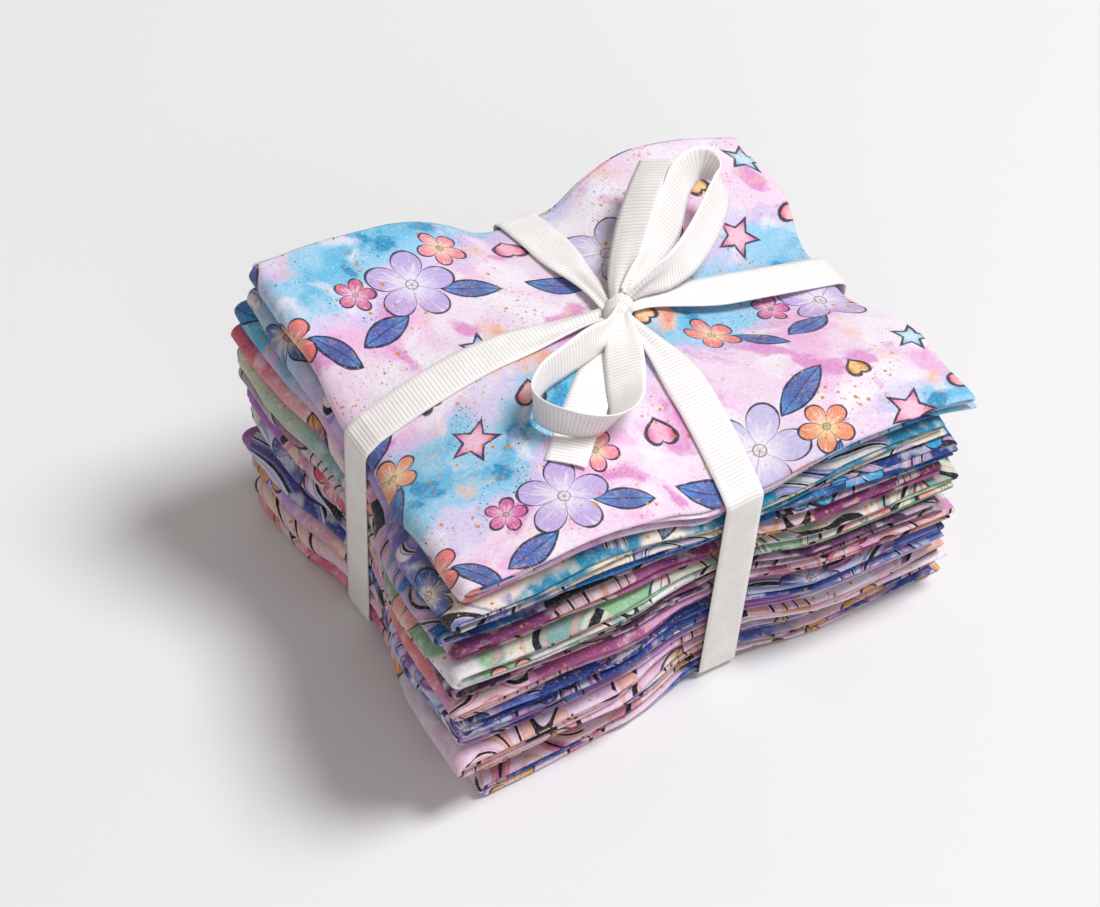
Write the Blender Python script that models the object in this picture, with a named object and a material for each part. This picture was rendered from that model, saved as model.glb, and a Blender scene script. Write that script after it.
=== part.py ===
"""Twelve folded fat quarters in a stack, tied both ways round with one ribbon in a bow.

X runs along the long side of the stack, Y across it and Z up. The stack stands on z = 0 and the
origin is under its middle. Sizes are in millimetres until a mesh is made.
"""

from collections import namedtuple
from math import atan2, cos, pi, radians, sin

import bmesh
import bpy
import numpy as np
from mathutils import Vector

MM = 0.001
SEED = 12
# The middle of the box around the finished bundle, in the sizes below, and so the origin
MIDDLE = (1.2, 0.45)

# Height of the stack's upper face, a row for each Y and a column for each X
HEIGHT_X = (-67.0, -31.0, 8.0, 41.0, 72.0)
HEIGHT_Y = (-54.0, -26.0, 5.0, 29.0, 53.0)
HEIGHT = (
    (75.0, 72.5, 62.5, 65.5, 60.0),
    (70.0, 74.0, 70.0, 67.0, 60.0),
    (62.0, 73.0, 71.0, 61.0, 55.0),
    (80.0, 76.0, 69.0, 66.0, 57.0),
    (83.0, 79.0, 64.0, 71.0, 60.0),
)

# The ribbon and the two turns that cross on the stack
RIBBON_WIDTH = 10.0
RIBBON_THICK = 1.0
CROSS_X = 8.0
CROSS_Y = 5.0
CLEAR = 0.45
TURN_OVER_TURN = 0.5
GROOVE = 2.0
LOWEST_RIBBON = 0.25
PRESSED = RIBBON_WIDTH / 2 + 0.5

# Where the ribbon draws the sides in, at the table and at the top
PinchedSide = namedtuple("PinchedSide", "low high")
PINCH = {
    "left": PinchedSide(-60.0, -60.6),
    "right": PinchedSide(62.5, 69.5),
    "front": PinchedSide(-49.5, -53.6),
    "back": PinchedSide(49.5, 51.5),
}
LEAN_FRONT = -4.0
LEAN_LEFT = 2.8
SKEW = -0.032
WARP_REACH = 28.0
WARP_TOP = 62.0

# Lines on which all the folded pieces have their points
LINES_X = (-67.0, -54.0, -26.0, CROSS_X - PRESSED, CROSS_X + PRESSED, 28.0, 54.0, 72.0)
LINES_Y = (-54.0, -37.0, CROSS_Y - PRESSED, CROSS_Y + PRESSED, 36.0, 53.0)

# The folded pieces from the top down. Each has its levels of cloth, its share of the height, the X
# of its left and right edges at the front and back, the Y of its front and back edges at the left
# and right, how far the folds at the right lie inside its right edge, and its colour.
FatQuarter = namedtuple(
    "FatQuarter",
    "levels share left_front left_back right_front right_back "
    "front_left front_right back_left back_right tuck colour",
)
FAT_QUARTERS = (
    FatQuarter(4, 1.25, -67.6, -62.8, 76.0, 74.0, -54.7, -52.5, 55.9, 53.0, 1.5, (0.83, 0.62, 0.80)),
    FatQuarter(3, 0.95, -71.7, -64.3, 69.0, 70.0, -56.6, -52.8, 55.6, 54.0, 2.5, (0.42, 0.52, 0.72)),
    FatQuarter(3, 1.05, -73.6, -65.2, 69.5, 70.0, -54.7, -57.1, 57.7, 55.0, 1.0, (0.18, 0.22, 0.52)),
    FatQuarter(3, 0.92, -69.8, -66.9, 65.2, 68.0, -55.0, -56.6, 58.9, 56.0, 2.0, (0.60, 0.30, 0.48)),
    FatQuarter(3, 1.12, -71.8, -66.9, 68.4, 71.0, -57.6, -56.7, 57.1, 55.0, 0.5, (0.62, 0.72, 0.60)),
    FatQuarter(3, 0.90, -70.5, -65.4, 64.3, 67.0, -55.3, -57.7, 58.2, 54.0, 3.0, (0.30, 0.22, 0.42)),
    FatQuarter(3, 1.05, -71.1, -64.1, 67.0, 69.0, -57.1, -58.2, 57.5, 55.5, 0.5, (0.78, 0.55, 0.70)),
    FatQuarter(3, 0.92, -70.5, -63.9, 66.0, 68.0, -56.5, -57.6, 57.8, 54.0, 2.0, (0.45, 0.35, 0.62)),
    FatQuarter(3, 0.95, -69.2, -66.4, 64.5, 67.0, -54.9, -54.8, 54.8, 52.0, 2.5, (0.25, 0.28, 0.55)),
    FatQuarter(4, 1.15, -71.5, -65.2, 68.0, 69.0, -58.0, -55.6, 55.3, 53.0, 1.0, (0.80, 0.72, 0.74)),
    FatQuarter(3, 0.90, -63.3, -65.8, 66.0, 68.0, -55.5, -53.0, 52.0, 52.0, 2.0, (0.72, 0.50, 0.62)),
    FatQuarter(3, 0.92, -64.7, -64.3, 68.0, 68.0, -56.0, -51.5, 53.0, 52.0, 1.5, (0.55, 0.42, 0.66)),
)
PIECE_GAP = 0.011
LEVEL_GAP = 0.075
MEAN_HEIGHT = 66.0
LEVEL_RECESS = 1.1
UPPER_LEVEL_RECESS = 0.3
FREE_END_BACK = 0.6
OUTER_TURN = (45.0, 90.0, 135.0)
INNER_TURN = (60.0, 120.0)

# Route of a loop or a tail: the middle of the ribbon, its height above the cloth under it, the
# angle at which its width stands up from the cloth, and its width, less where the knot gathers it
Station = namedtuple("Station", "x y above stands width")
LOOPS_AND_TAILS = {
    "near_loop": (
        Station(9.0, 3.0, 4.2, 70.0, 4.0),
        Station(2.0, -3.5, 5.4, 76.0, 7.0),
        Station(-5.0, -7.0, 6.0, 82.0, 9.5),
        Station(-13.0, -9.4, 6.3, 86.0, 10.0),
        Station(-21.0, -11.8, 6.4, 88.0, 10.0),
        Station(-26.5, -16.5, 6.4, 88.0, 10.0),
        Station(-26.0, -22.5, 6.3, 86.0, 10.0),
        Station(-20.5, -28.2, 6.1, 80.0, 10.0),
        Station(-13.5, -30.0, 5.9, 64.0, 10.0),
        Station(-7.5, -26.5, 5.5, 42.0, 10.0),
        Station(-3.0, -19.0, 5.0, 24.0, 10.0),
        Station(2.0, -9.5, 4.6, 14.0, 9.0),
        Station(7.5, 1.0, 4.4, 10.0, 5.0),
    ),
    "far_loop": (
        Station(11.0, 4.5, 4.4, 50.0, 4.0),
        Station(19.0, 5.6, 7.0, 54.0, 8.0),
        Station(31.0, 10.0, 10.5, 56.0, 10.0),
        Station(44.0, 18.5, 13.5, 60.0, 10.0),
        Station(50.5, 25.0, 15.0, 66.0, 10.0),
        Station(48.5, 30.5, 15.5, 72.0, 10.0),
        Station(41.5, 28.5, 14.5, 72.0, 10.0),
        Station(32.0, 19.5, 11.0, 68.0, 10.0),
        Station(21.5, 11.0, 7.5, 64.0, 8.0),
        Station(12.0, 6.0, 4.6, 50.0, 4.0),
    ),
    "near_tail": (
        Station(9.0, 3.0, 2.8, 0.0, 5.0),
        Station(2.0, -4.0, 1.9, 0.0, 8.0),
        Station(-8.0, -13.5, 1.5, 0.0, 10.0),
        Station(-18.0, -23.0, 1.4, 0.0, 10.0),
        Station(-27.5, -32.4, 1.5, 0.0, 10.0),
    ),
    "far_tail": (
        Station(10.0, 5.0, 4.0, 12.0, 5.0),
        Station(15.0, 12.0, 6.0, 20.0, 8.0),
        Station(24.0, 22.0, 10.5, 24.0, 10.0),
        Station(32.0, 29.5, 13.5, 22.0, 10.0),
        Station(39.0, 35.5, 14.5, 20.0, 10.0),
    ),
}
LOOP_STEPS = 3
KNOT = (8.5, 4.0)
KNOT_RADII = (6.2, 5.6, 3.6)
KNOT_ABOVE = 4.1
KNOT_SIDES = 12
KNOT_RINGS = 8
RIBBON_COLOUR = (0.93, 0.93, 0.92)
CLOTH_ROUGHNESS = 0.85
RIBBON_ROUGHNESS = 0.55


def smooth_between(knots, values, at):
    """A smooth curve through the values at the knots, which runs on straight past its ends."""
    knots = np.asarray(knots, float)
    values = np.asarray(values, float)
    at = float(at)
    slopes = np.gradient(values, knots)
    if at <= knots[0]:
        return values[0] + slopes[0] * (at - knots[0])
    if at >= knots[-1]:
        return values[-1] + slopes[-1] * (at - knots[-1])
    i = int(np.searchsorted(knots, at)) - 1
    span = knots[i + 1] - knots[i]
    t = (at - knots[i]) / span
    start, end = values[i], values[i + 1]
    rise = slopes[i] * span
    fall = slopes[i + 1] * span
    return (
        (2 * t**3 - 3 * t**2 + 1) * start
        + (t**3 - 2 * t**2 + t) * rise
        + (3 * t**2 - 2 * t**3) * end
        + (t**3 - t**2) * fall
    )


def pressed(value, middle):
    """The middle of a turn of ribbon for a place that the turn presses flat."""
    return middle if abs(value - middle) <= PRESSED else value


def upper_face(x, y):
    along = [smooth_between(HEIGHT_X, row, pressed(x, CROSS_X)) for row in HEIGHT]
    return smooth_between(HEIGHT_Y, along, pressed(y, CROSS_Y))


def under_ribbon(x, y):
    return abs(x - CROSS_X) <= PRESSED or abs(y - CROSS_Y) <= PRESSED


TOP = np.array([[upper_face(x, y) for y in LINES_Y] for x in LINES_X])
BASE = np.array([[GROOVE if under_ribbon(x, y) else 0.0 for y in LINES_Y] for x in LINES_X])


def cell(lines, value):
    """The cell of the lines that the value is in, and how far along it. It runs on past the ends."""
    i = int(np.clip(np.searchsorted(lines, value) - 1, 0, len(lines) - 2))
    return i, (value - lines[i]) / (lines[i + 1] - lines[i])


def read_grid(grid, x, y):
    i, u = cell(LINES_X, x)
    j, v = cell(LINES_Y, y)
    near = grid[i, j] * (1 - u) + grid[i + 1, j] * u
    far = grid[i, j + 1] * (1 - u) + grid[i + 1, j + 1] * u
    return near * (1 - v) + far * v


def cloth_under(x, y):
    """Height of the stack's upper face as its triangles make it, for what lies on it."""
    i, u = cell(LINES_X, x)
    j, v = cell(LINES_Y, y)
    start, end = TOP[i, j], TOP[i + 1, j + 1]
    if u > v:
        return start + u * (TOP[i + 1, j] - start) + v * (end - TOP[i + 1, j])
    return start + v * (TOP[i, j + 1] - start) + u * (end - TOP[i, j + 1])


def shares_of(index):
    """The part of the stack's height that a folded piece takes, counted from the table."""
    total = sum(q.share for q in FAT_QUARTERS)
    low = sum(q.share for q in FAT_QUARTERS[index + 1 :]) / total
    high = low + FAT_QUARTERS[index].share / total
    if index < len(FAT_QUARTERS) - 1:
        low += PIECE_GAP / 2
    if index > 0:
        high -= PIECE_GAP / 2
    return low, high


def height_in(index, x, y, part):
    """Height of a point in a folded piece, where part runs from 0 at its under side to 1."""
    low, high = shares_of(index)
    share = low + (high - low) * part
    base = read_grid(BASE, x, y)
    return base + (read_grid(TOP, x, y) - base) * share


def pinch_at(side, index):
    """Where the ribbon holds this side of a folded piece, read at its under side."""
    low, high = PINCH[side]
    return low + (high - low) * shares_of(index)[0]


def side_edge(index, side, y):
    """X of the left or right edge of a folded piece at y."""
    q = FAT_QUARTERS[index]
    front, back = (q.left_front, q.left_back) if side == "left" else (q.right_front, q.right_back)
    along = np.clip((y - HEIGHT_Y[0]) / (HEIGHT_Y[-1] - HEIGHT_Y[0]), 0, 1)
    edge = front + (back - front) * along
    if abs(y - CROSS_Y) > PRESSED:
        return edge
    held = pinch_at(side, index)
    return max(edge, held) if side == "left" else min(edge, held)


def end_edge(index, side, x):
    """Y of the front or back edge of a folded piece at x."""
    q = FAT_QUARTERS[index]
    left, right = (q.front_left, q.front_right) if side == "front" else (q.back_left, q.back_right)
    along = np.clip((x - HEIGHT_X[0]) / (HEIGHT_X[-1] - HEIGHT_X[0]), 0, 1)
    edge = left + (right - left) * along
    if abs(x - CROSS_X) > PRESSED:
        return edge
    held = pinch_at(side, index)
    return max(edge, held) if side == "front" else min(edge, held)


def warped(x, y, z):
    """The ribbon draws the cloth near it askew, more so towards the table."""
    near_long_turn = np.exp(-(((y - CROSS_Y) / WARP_REACH) ** 2))
    near_cross_turn = np.exp(-(((x - CROSS_X) / WARP_REACH) ** 2))
    depth = max(0.0, 1 - z / WARP_TOP)
    leftness = max(0.0, -x / HEIGHT_X[-1])
    shift_x = LEAN_FRONT * depth * near_cross_turn
    shift_y = (LEAN_LEFT * depth * leftness + SKEW * (x - CROSS_X)) * near_long_turn
    return x + shift_x, y + shift_y, z


# A point of the folded section. Its X is measured from the left or right edge, or is one of the
# common lines. Left and right hand are the two faces of the cloth, seen along the way through it,
# each with its distance from the edge and its part of the piece's height.
SectionPoint = namedtuple("SectionPoint", "side left_hand right_hand level")


class FoldedSection:
    """The way of one folded piece from its upper right end through its turns to its inner end."""

    def __init__(self, index):
        q = FAT_QUARTERS[index]
        self.levels = q.levels
        self.gap = LEVEL_GAP
        self.thick = (1 - (q.levels - 1) * self.gap) / q.levels
        low, high = shares_of(index)
        self.scale = (high - low) * MEAN_HEIGHT
        self.tuck = q.tuck
        self.fold = self.scale / 2
        self.points = []
        self.trace()

    def bottom_of(self, level):
        return level * (self.thick + self.gap)

    def add(self, side, away, level, leftwards):
        low = self.bottom_of(level)
        faces = ((away, low), (away, low + self.thick))
        left_hand, right_hand = faces if leftwards else faces[::-1]
        self.points.append(SectionPoint(side, left_hand, right_hand, level))

    def run(self, level, leftwards, start, end):
        """One level of cloth, from a place at one side to a place at the other."""
        self.add(*start, level, leftwards)
        lines = LINES_X[1:-1]
        for x in reversed(lines) if leftwards else lines:
            self.add("line", x, level, leftwards)
        self.add(*end, level, leftwards)

    def turn(self, side, start, end, away, angles):
        """A turn between two levels, whose ends lie away from the edge of the piece."""
        low, high = min(start, end), max(start, end)
        middle = (self.bottom_of(low) + self.bottom_of(high) + self.thick) / 2
        outer = middle - self.bottom_of(low)
        inner = outer - self.thick
        turns_left = (side == "left") == (start > end)
        for angle in angles:
            at = radians(angle)
            share = (1 - cos(at)) / 2
            up = cos(at) if start > end else -cos(at)
            reach = sin(at) * self.scale
            faces = [(away - size * reach, middle + size * up) for size in (inner, outer)]
            left_hand, right_hand = faces if turns_left else faces[::-1]
            self.points.append(
                SectionPoint(side, left_hand, right_hand, start + (end - start) * share)
            )

    def trace(self):
        top = self.levels - 1
        small = (2 * self.thick + self.gap) / 2 * self.scale
        at_left = ("left", self.fold)
        at_right = ("right", self.tuck + small)
        self.run(top, True, ("right", 0.0), at_left)
        self.turn("left", top, 0, self.fold, OUTER_TURN)
        for level in range(top):
            leftwards = level % 2 == 1
            last = level == top - 1
            start = at_right if leftwards else at_left
            end = at_left if leftwards else at_right
            if last:
                side = "left" if leftwards else "right"
                end = (side, self.fold + FREE_END_BACK if leftwards else self.tuck)
            self.run(level, leftwards, start, end)
            if not last:
                side, away = end
                self.turn(side, level, level + 1, away, INNER_TURN)


def folded_piece_mesh(index, random):
    section = FoldedSection(index).points
    levels = FAT_QUARTERS[index].levels
    recess = {side: random.uniform(0.0, LEVEL_RECESS, levels) for side in ("front", "back")}
    for inside in recess.values():
        inside[-1] *= UPPER_LEVEL_RECESS
    stations = ("front", *LINES_Y[1:-1], "back")

    def place(face, point, station):
        away, part = face
        reach_y = {"front": LINES_Y[0], "back": LINES_Y[-1]}.get(station, station)
        x = away
        if point.side == "left":
            x = side_edge(index, "left", reach_y) + away
        elif point.side == "right":
            x = side_edge(index, "right", reach_y) - away
        y = reach_y
        if station in recess:
            inside = np.interp(point.level, range(levels), recess[station])
            y = end_edge(index, station, x) + (inside if station == "front" else -inside)
        return warped(x, y, height_in(index, x, y, part))

    vertices = []
    number = {}
    for j, station in enumerate(stations):
        for i, point in enumerate(section):
            for hand, face in enumerate((point.left_hand, point.right_hand)):
                number[i, j, hand] = len(vertices)
                vertices.append(place(face, point, station))
    faces = []
    last_i, last_j = len(section) - 1, len(stations) - 1
    for i in range(last_i):
        for j in range(last_j):
            for hand in (0, 1):
                near, far = number[i, j, hand], number[i + 1, j, hand]
                near_back, far_back = number[i, j + 1, hand], number[i + 1, j + 1, hand]
                if vertices[far][0] > vertices[near][0]:
                    faces += [(near, far, far_back), (near, far_back, near_back)]
                else:
                    faces += [(far, near, near_back), (far, near_back, far_back)]
        for j in (0, last_j):
            faces.append(
                (number[i, j, 0], number[i, j, 1], number[i + 1, j, 1], number[i + 1, j, 0])
            )
    for i in (0, last_i):
        for j in range(last_j):
            faces.append(
                (number[i, j, 0], number[i, j, 1], number[i, j + 1, 1], number[i, j + 1, 0])
            )
    return vertices, faces


def material(name, colour, roughness):
    made = bpy.data.materials.new(name)
    made.use_nodes = True
    shader = made.node_tree.nodes["Principled BSDF"]
    shader.inputs["Base Color"].default_value = (*colour, 1.0)
    shader.inputs["Roughness"].default_value = roughness
    shader.inputs["Metallic"].default_value = 0.0
    return made


def placed(name, work):
    """An object of the worked mesh, moved so that the origin is under the bundle's middle."""
    bmesh.ops.recalc_face_normals(work, faces=work.faces)
    mesh = bpy.data.meshes.new(name)
    work.to_mesh(mesh)
    work.free()
    made = bpy.data.objects.new(name, mesh)
    made.location = (-MIDDLE[0] * MM, -MIDDLE[1] * MM, 0.0)
    bpy.context.scene.collection.objects.link(made)
    return made


def solid(name, vertices, faces):
    """A closed object in metres, its faces pointing out."""
    mesh = bpy.data.meshes.new(name + "_points")
    mesh.from_pydata([tuple(c * MM for c in v) for v in vertices], [], faces)
    work = bmesh.new()
    work.from_mesh(mesh)
    bpy.data.meshes.remove(mesh)
    return placed(name, work)


def strip_of_sections(sections, closed):
    """Vertices and faces of a band whose four-cornered sections follow each other."""
    vertices = [corner for section in sections for corner in section]
    count = len(sections)
    faces = []
    for i in range(count if closed else count - 1):
        here, after = 4 * i, 4 * ((i + 1) % count)
        for k in range(4):
            following = (k + 1) % 4
            faces.append((here + k, here + following, after + following, after + k))
    if not closed:
        faces.append((0, 1, 2, 3))
        faces.append(tuple(4 * (count - 1) + k for k in range(4)))
    return vertices, faces


def corner_arc(x, z, start, end):
    """Points around a corner of the stack, at the ribbon's clearance from it."""
    angles = [radians(start + (end - start) * k / 2) for k in range(3)]
    return [(x + CLEAR * cos(a), z + CLEAR * sin(a)) for a in angles]


def turn_outline(along_x):
    """Inner face of a turn of ribbon, as (across, height) points from its upper left, clockwise."""
    last = len(FAT_QUARTERS) - 1
    lines = (LINES_X if along_x else LINES_Y)[1:-1]
    edge_of = side_edge if along_x else end_edge
    low_side, high_side = ("left", "right") if along_x else ("front", "back")
    middle = CROSS_Y if along_x else CROSS_X
    lift = 0.0 if along_x else TURN_OVER_TURN

    def on(index, at, part):
        x, y = (at, middle) if along_x else (middle, at)
        return height_in(index, x, y, part)

    upper_left = edge_of(0, low_side, middle)
    upper_right = edge_of(0, high_side, middle)
    lower_left = edge_of(last, low_side, middle)
    lower_right = edge_of(last, high_side, middle)
    under = LOWEST_RIBBON + RIBBON_THICK + lift / 2
    points = corner_arc(upper_left, on(0, upper_left, 1), 180, 90)
    if along_x:
        points = rounded_start(upper_left, on)
    for at in lines:
        over = lift if abs(at - (CROSS_X if along_x else CROSS_Y)) <= PRESSED else 0.0
        points.append((at, on(0, at, 1) + CLEAR + over))
    points += corner_arc(upper_right, on(0, upper_right, 1), 90, 0)
    points.append((lower_right + CLEAR, under + 2 * CLEAR))
    points.append((lower_right - CLEAR, under))
    points += [(at, under) for at in reversed(lines)]
    points.append((lower_left + CLEAR, under))
    points.append((lower_left - CLEAR, under + 2 * CLEAR))
    return points


def rounded_start(edge, on):
    """The turn's way over the round fold of the uppermost piece."""
    fold = FoldedSection(0).fold
    points = []
    for angle in (90.0, 45.0, 0.0):
        at = radians(angle)
        x = edge + fold * (1 - sin(at))
        z = on(0, x, 0.5 + 0.5 * cos(at))
        points.append((x - CLEAR * sin(at), z + CLEAR * cos(at)))
    return points


def turn_of_ribbon(name, along_x):
    """One closed turn of ribbon around the stack."""
    inner = turn_outline(along_x)
    count = len(inner)
    half = RIBBON_WIDTH / 2
    middle = CROSS_Y if along_x else CROSS_X
    sections = []
    for i, (across, z) in enumerate(inner):
        before, after = inner[i - 1], inner[(i + 1) % count]
        headings = [
            atan2(z - before[1], across - before[0]),
            atan2(after[1] - z, after[0] - across),
        ]
        turned = (headings[1] - headings[0] + pi) % (2 * pi) - pi
        outward = headings[0] + turned / 2 + pi / 2
        reach = RIBBON_THICK / cos(turned / 2)
        outer = (across + reach * cos(outward), z + reach * sin(outward))
        corners = []
        for (a, h), side in (((across, z), -1), ((across, z), 1), (outer, 1), (outer, -1)):
            x, y = (a, middle + side * half) if along_x else (middle + side * half, a)
            corners.append(warped(x, y, h))
        sections.append(corners)
    return solid(name, *strip_of_sections(sections, True))


def loop_or_tail(name, stations):
    """A length of ribbon along its stations, its width turned as they say."""
    count = (len(stations) - 1) * LOOP_STEPS + 1
    knots = range(len(stations))
    route = []
    for step in range(count):
        at = step / LOOP_STEPS
        x, y, above, stands, width = (
            smooth_between(knots, [s[column] for s in stations], at)
            for column in range(len(Station._fields))
        )
        route.append((Vector((x, y, cloth_under(x, y) + above)), radians(stands), width))
    sections = []
    for i, (middle, stands, width) in enumerate(route):
        ahead = route[min(i + 1, count - 1)][0] - route[max(i - 1, 0)][0]
        ahead.normalize()
        level = ahead.cross(Vector((0, 0, 1))).normalized()
        upright = level.cross(ahead)
        across = level * cos(stands) + upright * sin(stands)
        normal = ahead.cross(across)
        sections.append(
            [
                middle + across * (u * width / 2) + normal * (v * RIBBON_THICK / 2)
                for u, v in ((-1, -1), (1, -1), (1, 1), (-1, 1))
            ]
        )
    return solid(name, *strip_of_sections(sections, False))


def knot():
    work = bmesh.new()
    bmesh.ops.create_uvsphere(work, u_segments=KNOT_SIDES, v_segments=KNOT_RINGS, radius=1.0)
    middle = Vector((*KNOT, cloth_under(*KNOT) + KNOT_ABOVE))
    for vertex in work.verts:
        stretched = Vector([c * r for c, r in zip(vertex.co, KNOT_RADII)])
        vertex.co = (middle + stretched) * MM
    return placed("knot", work)


def ribbon():
    """The turns, the knot, the loops and the tails, joined as the one length that they are."""
    whole = turn_of_ribbon("ribbon", True)
    parts = [turn_of_ribbon("cross_turn", False), knot()]
    parts += [loop_or_tail(name, stations) for name, stations in LOOPS_AND_TAILS.items()]
    for part in parts:
        part.hide_render = True
        part.display_type = "WIRE"
        join = whole.modifiers.new("join_" + part.name, "BOOLEAN")
        join.operation = "UNION"
        join.solver = "EXACT"
        join.use_self = True
        join.object = part
    whole.data.materials.append(material("ribbon", RIBBON_COLOUR, RIBBON_ROUGHNESS))


def fat_quarters():
    random = np.random.default_rng(SEED)
    for index, quarter in enumerate(FAT_QUARTERS):
        name = f"fat_quarter_{index + 1:02d}"
        made = solid(name, *folded_piece_mesh(index, random))
        made.data.materials.append(material(name, quarter.colour, CLOTH_ROUGHNESS))


def build():
    for old in list(bpy.data.objects):
        bpy.data.objects.remove(old, do_unlink=True)
    fat_quarters()
    ribbon()


build()
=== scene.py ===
from collections import namedtuple
from math import cos, pi, radians, sin

import bpy
import numpy as np
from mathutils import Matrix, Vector


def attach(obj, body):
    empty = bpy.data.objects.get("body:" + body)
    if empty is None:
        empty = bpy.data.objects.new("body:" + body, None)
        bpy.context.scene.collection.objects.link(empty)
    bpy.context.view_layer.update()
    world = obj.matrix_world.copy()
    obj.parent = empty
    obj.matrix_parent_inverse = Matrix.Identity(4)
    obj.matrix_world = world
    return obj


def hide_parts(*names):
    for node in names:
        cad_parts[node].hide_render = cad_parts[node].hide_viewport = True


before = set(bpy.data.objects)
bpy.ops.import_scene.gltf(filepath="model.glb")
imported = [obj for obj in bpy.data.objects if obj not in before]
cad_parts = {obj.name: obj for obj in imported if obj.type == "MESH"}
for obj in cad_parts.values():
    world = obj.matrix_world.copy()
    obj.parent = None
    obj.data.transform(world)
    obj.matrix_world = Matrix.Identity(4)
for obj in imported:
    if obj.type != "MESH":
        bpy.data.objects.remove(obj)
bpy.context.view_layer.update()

MM = 0.001
SEED = 41
# Sizes are in millimetres in the stack's own axes. Its origin is this far from the row's.
MIDDLE = np.array((1.2, 0.45, 0.0))

# Height of the stack's upper face, a row for each Y and a column for each X
HEIGHT_X = (-67.0, -31.0, 8.0, 41.0, 72.0)
HEIGHT_Y = (-54.0, -26.0, 5.0, 29.0, 53.0)
HEIGHT = (
    (75.0, 72.5, 62.5, 65.5, 60.0),
    (70.0, 74.0, 70.0, 67.0, 60.0),
    (62.0, 73.0, 71.0, 61.0, 55.0),
    (80.0, 76.0, 69.0, 66.0, 57.0),
    (83.0, 79.0, 64.0, 71.0, 60.0),
)

# The ribbon, the two turns that cross on the stack, half the width that they press flat, and
# how far they hold the underside off the table
RIBBON_WIDTH = 10.0
CROSS_X = 8.0
CROSS_Y = 5.0
PRESSED = RIBBON_WIDTH / 2 + 0.5
GROOVE = 2.0

# Where the ribbon draws the sides in, at the table and at the top
PINCH = {
    "left": (-60.0, -60.6),
    "right": (62.5, 69.5),
    "front": (-49.5, -53.6),
    "back": (49.5, 51.5),
}
PINCH_REACH = 27.0
# Where the ribbon's path over the top is read, and where it ends short of each bend. How far it
# rounds the edge there, and how it turns under the stack
READ_FROM_TO = {"left": (-67.0, 70.0), "front": (-54.0, 52.0)}
READINGS = 120
TOP_END = {"left": 3.0, "right": 1.5, "front": 3.0, "back": 1.5}
BEND_REACH = {"left": 2.9, "right": 1.4, "front": 1.4, "back": 1.4}
BEND_STEPS = 6
FOOT_HEIGHT = 2.2
FOOT_IN, FOOT_LOW = 1.2, 1.3
# How the ribbon draws the cloth near it askew: at the front, at the left and along the long
# turn, how far to each side, and from which height down
LEAN_FRONT = -4.0
LEAN_LEFT = 2.8
SKEW = -0.032
WARP_REACH = 28.0
WARP_TOP = 62.0

# The folded pieces from the top down: share of the height, X of the left and right edges at the
# front and back, Y of the front and back edges at the left and right, and how far the small folds
# at the right lie inside the right edge
FatQuarter = namedtuple(
    "FatQuarter",
    "share left_front left_back right_front right_back "
    "front_left front_right back_left back_right tuck",
)
FAT_QUARTERS = (
    FatQuarter(1.25, -67.6, -62.8, 76.0, 74.0, -54.7, -52.5, 55.9, 53.0, 1.5),
    FatQuarter(0.95, -71.7, -64.3, 69.0, 70.0, -56.6, -52.8, 55.6, 54.0, 2.5),
    FatQuarter(1.05, -73.6, -65.2, 69.5, 70.0, -54.7, -57.1, 57.7, 55.0, 1.0),
    FatQuarter(0.92, -69.8, -66.9, 65.2, 68.0, -55.0, -56.6, 58.9, 56.0, 2.0),
    FatQuarter(1.12, -71.8, -66.9, 68.4, 71.0, -57.6, -56.7, 57.1, 55.0, 0.5),
    FatQuarter(0.90, -70.5, -65.4, 64.3, 67.0, -55.3, -57.7, 58.2, 54.0, 3.0),
    FatQuarter(1.05, -71.1, -64.1, 67.0, 69.0, -57.1, -58.2, 57.5, 55.5, 0.5),
    FatQuarter(0.92, -70.5, -63.9, 66.0, 68.0, -56.5, -57.6, 57.8, 54.0, 2.0),
    FatQuarter(0.95, -69.2, -66.4, 64.5, 67.0, -54.9, -54.8, 54.8, 52.0, 2.5),
    FatQuarter(1.15, -71.5, -65.2, 68.0, 69.0, -58.0, -55.6, 55.3, 53.0, 1.0),
    FatQuarter(0.90, -63.3, -65.8, 66.0, 68.0, -55.5, -53.0, 52.0, 52.0, 2.0),
    FatQuarter(0.92, -64.7, -64.3, 68.0, 68.0, -56.0, -51.5, 53.0, 52.0, 1.5),
)
# The folded packet on average, for its waves and for the steps of its mesh
PACKET_LEFT, PACKET_FRONT = -66.0, -54.5
PACKET_LENGTH, PACKET_DEPTH = 136.0, 109.0
STRAIGHT_LENGTH, STRAIGHT_DEPTH = 130.0, 106.0
# Its layers, their spacing and thickness, and the gap between two pieces as a share of the height
LAYERS = 16
LAYER_PITCH = 0.36
CLOTH_THICK = 0.2
PIECE_GAP = 0.004


def smooth_between(knots, values, at):
    """A smooth curve through the values at the knots, straight past its ends. Values may have a
    second axis, with a column for each place that is asked for."""
    knots, values, at = (np.asarray(v, float) for v in (knots, values, at))
    slopes = np.gradient(values, knots, axis=0)
    inside = np.clip(at, knots[0], knots[-1])
    i = np.clip(np.searchsorted(knots, inside, "right") - 1, 0, len(knots) - 2)

    def pick(table, k):
        return table[k] if table.ndim == 1 else table[k, np.arange(table.shape[1])]

    span = knots[i + 1] - knots[i]
    t = (inside - knots[i]) / span
    past = at - inside
    end_slope = np.where(past < 0, pick(slopes, i * 0), pick(slopes, i * 0 + len(knots) - 1))
    return (
        (2 * t**3 - 3 * t**2 + 1) * pick(values, i)
        + (t**3 - 2 * t**2 + t) * pick(slopes, i) * span
        + (3 * t**2 - 2 * t**3) * pick(values, i + 1)
        + (t**3 - t**2) * pick(slopes, i + 1) * span
        + past * end_slope
    )


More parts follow.
